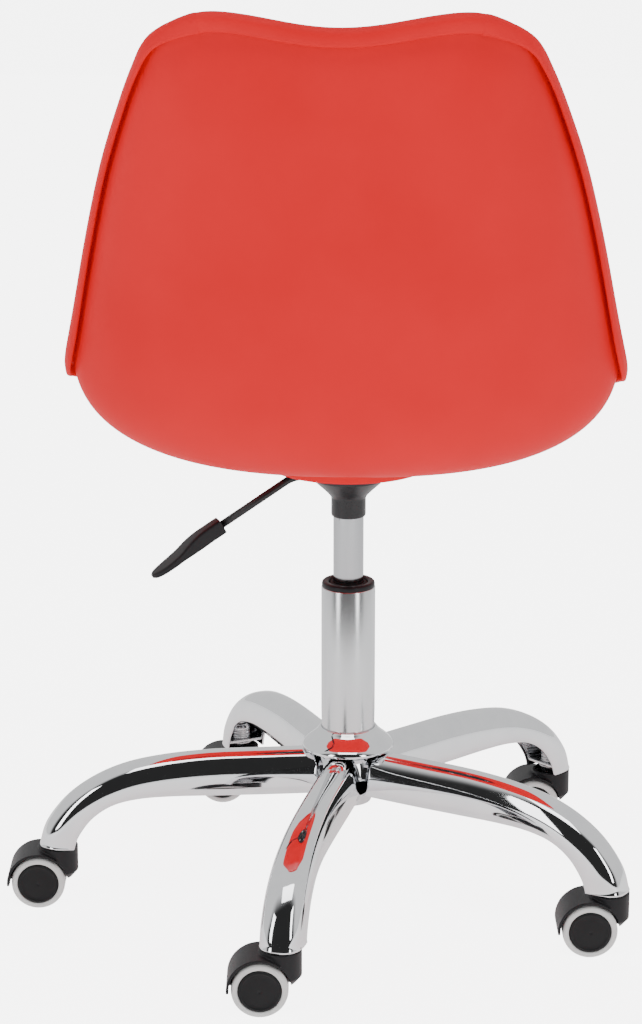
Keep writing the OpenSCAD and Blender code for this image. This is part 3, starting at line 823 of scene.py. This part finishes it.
def stitches(pad):
    """Short raised stitches along the sewn channel."""
    ring, ups = snapped(pad, perimeter(SEAM_REACH, SEAM_LIFT, 480), 0.15)
    steps = np.linalg.norm(np.roll(ring, -1, axis=0) - ring, axis=1)
    travelled = np.concatenate([[0], np.cumsum(steps)])
    count = int(travelled[-1] / STITCH_PITCH)
    points, faces, sides = [], [], 8
    for k in range(count):
        i = int(np.searchsorted(travelled, travelled[-1] * k / count, side="right") - 1) % len(ring)
        along = unit(ring[(i + 1) % len(ring)] - ring[i])
        across = unit(np.cross(along, ups[i]))
        rise = np.cross(across, along)
        first = len(points)
        for t in np.linspace(-1, 1, STITCH_RINGS):
            girth = STITCH_R * math.sqrt(max(1 - t * t, 0.02))
            for j in range(sides):
                a = 2 * math.pi * j / sides
                turn = math.cos(a) * across + math.sin(a) * rise
                points.append(ring[i] + STITCH_HALF * t * along + girth * turn)
        faces += [tuple(first + index for index in face) for face in ring_faces(STITCH_RINGS, sides)]
        faces += end_faces(STITCH_RINGS, sides, first)
    new_piece("cushion_stitches", np.array(points) * MM, faces, "red_leather", "seat")


cushion = seat_cushion()
piping(cushion)
stitches(cushion)


# ---------------------------------------------------------------- stage, light and camera

FLOOR_SIZE = 12.0
FLOOR_GLOW, FLOOR_GLOW_SEEN = 0.5, 5.5
WORLD_FADE_START, WORLD_FADE_END = 0.25, 0.55
WORLD_LIGHT, WORLD_DARK, WORLD_SEEN = 0.9, 0.03, 6.0
CAMERA_PLACE = (-0.0925, 2.6985, 1.120)
CAMERA_TILT, CAMERA_TURN = 74.54, 182.5
LENS = 107.2
LIGHT_TARGET = (0, 0, 0.45)


def stage():
    """Pale floor that glows faintly, and brightly to the camera's own rays."""
    bpy.ops.mesh.primitive_plane_add(size=FLOOR_SIZE)
    floor = bpy.context.object
    floor.name = "studio_floor"
    g = Graph("pale floor")
    paper = g.noise(3.0, 2.0)
    g.set(Specular_IOR_Level=0.2, Emission_Color=(1.0, 1.0, 1.0, 1.0))
    glow = g.add("ShaderNodeMapRange")
    g.link(g.add("ShaderNodeLightPath").outputs["Is Camera Ray"], glow.inputs["Value"])
    glow.inputs["To Min"].default_value = FLOOR_GLOW
    glow.inputs["To Max"].default_value = FLOOR_GLOW_SEEN
    g.link(glow.outputs["Result"], g.shader.inputs["Emission Strength"])
    shades = g.ramp(paper, (0.9, 0.9, 0.9), (0.93, 0.93, 0.93))
    floor.data.materials.append(g.finish(shades, g.spread(paper, 0.7, 0.8), g.bump(paper, 0.02, 0.0001)))


def studio():
    """White all round as the camera sees it; in reflections it is dark behind the camera."""
    world = bpy.data.worlds.new("studio")
    bpy.context.scene.world = world
    world.use_nodes = True
    tree = world.node_tree
    new, link = tree.nodes.new, tree.links.new
    background = tree.nodes["Background"]
    split = new("ShaderNodeSeparateXYZ")
    link(new("ShaderNodeTexCoord").outputs["Generated"], split.inputs["Vector"])
    shade = new("ShaderNodeMapRange")
    shade.interpolation_type = "SMOOTHSTEP"
    shade.inputs["From Min"].default_value = WORLD_FADE_START
    shade.inputs["From Max"].default_value = WORLD_FADE_END
    shade.inputs["To Min"].default_value = WORLD_LIGHT
    shade.inputs["To Max"].default_value = WORLD_DARK
    link(split.outputs["Y"], shade.inputs["Value"])
    seen = new("ShaderNodeMix")
    link(new("ShaderNodeLightPath").outputs["Is Camera Ray"], seen.inputs["Factor"])
    link(shade.outputs["Result"], seen.inputs["A"])
    seen.inputs["B"].default_value = WORLD_SEEN
    background.inputs["Color"].default_value = (1.0, 1.0, 1.0, 1.0)
    link(seen.outputs["Result"], background.inputs["Strength"])


def area_light(name, place, target, size, power):
    """A rectangular light that faces its target."""
    light = bpy.data.lights.new(name, "AREA")
    light.shape = "RECTANGLE"
    light.size, light.size_y = size
    light.energy = power
    lamp = bpy.data.objects.new(name, light)
    bpy.context.scene.collection.objects.link(lamp)
    lamp.location = place
    lamp.rotation_euler = (Vector(target) - Vector(place)).to_track_quat("-Z", "Y").to_euler()


def camera():
    """The viewpoint, behind the sitter and a little above the seat."""
    data = bpy.data.cameras.new("camera")
    data.lens = LENS
    data.sensor_width = 36.0
    data.clip_end = 50.0
    cam = bpy.data.objects.new("camera", data)
    bpy.context.scene.collection.objects.link(cam)
    cam.location = CAMERA_PLACE
    cam.rotation_euler = (math.radians(CAMERA_TILT), 0.0, math.radians(CAMERA_TURN))
    bpy.context.scene.camera = cam


stage()
studio()
area_light("left strip", (1.75, 2.0, 1.2), LIGHT_TARGET, (0.55, 2.0), 16)
area_light("right strip", (-1.75, 2.0, 1.2), LIGHT_TARGET, (0.55, 2.0), 16)
area_light("top", (0, 1.2, 2.8), (0, 0, 0.4), (1.8, 0.9), 18)
camera()
